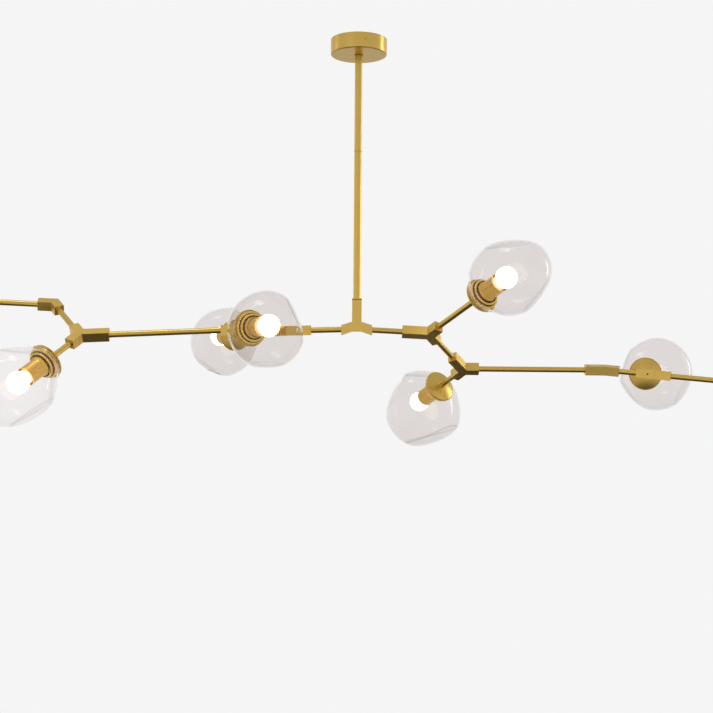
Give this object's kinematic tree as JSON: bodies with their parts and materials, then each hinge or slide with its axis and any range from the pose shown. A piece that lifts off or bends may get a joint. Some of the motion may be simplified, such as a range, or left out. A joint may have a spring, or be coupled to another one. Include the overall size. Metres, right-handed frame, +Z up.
{
  "type": "branch chandelier",
  "caption": "Ceiling chandelier: canopy, straight stem and a jointed zigzag of rods and cast blocks, with globe bulbs in irregular blown-glass bubbles.",
  "frame": {"origin": "centre of the ceiling bracket's top face, on the ceiling plane", "axes": "+Z up into the ceiling, +X to the right along the branches as the picture shows them, +Y away from the viewer"},
  "size_m": [1.9291, 0.7131, 0.8677],
  "materials": {
    "satin_brass": "satin",
    "plated_steel": "satin",
    "clear_glass": "gloss",
    "bulb_glass": "frosted, lit",
    "terminal_plastic": "satin"
  },
  "bodies": {
    "ceiling": {"ceiling_bracket": "plated_steel", "mounting_screws": "plated_steel", "canopy": "satin_brass", "swivel_nut": "plated_steel", "terminal_block": "terminal_plastic"},
    "stem": {"stem_upper": "satin_brass", "stem_coupler": "satin_brass", "stem_lower": "satin_brass", "centre_block": "satin_brass", "centre_tubes": "satin_brass"},
    "right_inner": {"right_inner_block": "satin_brass", "right_link_tube": "satin_brass", "arm_tube_right_inner": "satin_brass", "cap_right_inner": "satin_brass", "holder_right_inner": "satin_brass", "bulb_right_inner": "bulb_glass", "glass_right_inner": "clear_glass"},
    "right_second": {"right_second_block": "satin_brass", "right_long_tube": "satin_brass", "arm_tube_right_second": "satin_brass", "cap_right_second": "satin_brass", "holder_right_second": "satin_brass", "bulb_right_second": "bulb_glass", "glass_right_second": "clear_glass"},
    "right_elbow": {"right_elbow": "satin_brass", "right_elbow_tube": "satin_brass"},
    "right_outer": {"right_outer_block": "satin_brass", "arm_tubes_outer_right": "satin_brass", "caps_outer_right": "satin_brass", "holders_outer_right": "satin_brass", "bulbs_outer_right": "bulb_glass", "glass_right_outer": "clear_glass", "glass_far_right": "clear_glass"},
    "left_inner": {"left_inner_block": "satin_brass", "left_link_tube": "satin_brass", "arm_tube_left_inner": "satin_brass", "cap_left_inner": "satin_brass", "holder_left_inner": "satin_brass", "bulb_left_inner": "bulb_glass", "glass_left_inner": "clear_glass"},
    "left_second": {"left_second_block": "satin_brass", "left_long_tube": "satin_brass", "arm_tube_left_second": "satin_brass", "cap_left_second": "satin_brass", "holder_left_second": "satin_brass", "bulb_left_second": "bulb_glass", "glass_left_second": "clear_glass"},
    "left_outer": {"left_outer_block": "satin_brass", "left_outer_link_tube": "satin_brass", "arm_tube_left_outer": "satin_brass", "cap_left_outer": "satin_brass", "holder_left_outer": "satin_brass", "bulb_left_outer": "bulb_glass", "glass_left_outer": "clear_glass"},
    "left_end": {"left_elbow": "satin_brass", "arm_tube_far_left": "satin_brass", "cap_far_left": "satin_brass", "holder_far_left": "satin_brass", "bulb_far_left": "bulb_glass", "glass_far_left": "clear_glass"}
  },
  "joints": [
    {"name": "stem_swivel", "type": "hinge", "parent": "ceiling", "child": "stem", "pos_m": [0, 0, 0], "axis": [0, 0, 1], "range_deg": [-90, 90]},
    {"name": "right_inner_turn", "type": "hinge", "parent": "stem", "child": "right_inner", "pos_m": [0.15383, 0, -0.62725], "axis": [0.9989, 0, -0.0471], "range_deg": [-30, 30]},
    {"name": "right_second_turn", "type": "hinge", "parent": "right_inner", "child": "right_second", "pos_m": [0.23575, 0.13288, -0.69457], "axis": [0.4819, 0.7817, -0.396], "range_deg": [-25, 25]},
    {"name": "right_elbow_turn", "type": "hinge", "parent": "right_second", "child": "right_elbow", "pos_m": [0.54866, 0.14023, -0.69448], "axis": [0.9997, 0.0235, 0.0003], "range_deg": [-25, 25]},
    {"name": "right_outer_turn", "type": "hinge", "parent": "right_elbow", "child": "right_outer", "pos_m": [0.62822, 0.11474, -0.70323], "axis": [0.9471, -0.3035, -0.1042], "range_deg": [-30, 30]},
    {"name": "left_inner_turn", "type": "hinge", "parent": "stem", "child": "left_inner", "pos_m": [-0.15392, 0, -0.62484], "axis": [-0.9995, 0, -0.0314], "range_deg": [-30, 30]},
    {"name": "left_second_turn", "type": "hinge", "parent": "left_inner", "child": "left_second", "pos_m": [-0.23665, -0.14356, -0.63496], "axis": [-0.4983, -0.8648, -0.061], "range_deg": [-25, 25]},
    {"name": "left_outer_turn", "type": "hinge", "parent": "left_second", "child": "left_outer", "pos_m": [-0.55131, -0.14333, -0.64961], "axis": [-0.9989, 0.0007, -0.0465], "range_deg": [-30, 30]},
    {"name": "left_end_turn", "type": "hinge", "parent": "left_outer", "child": "left_end", "pos_m": [-0.62765, -0.04164, -0.57787], "axis": [-0.5229, 0.6965, 0.4913], "range_deg": [-45, 45]}
  ]
}
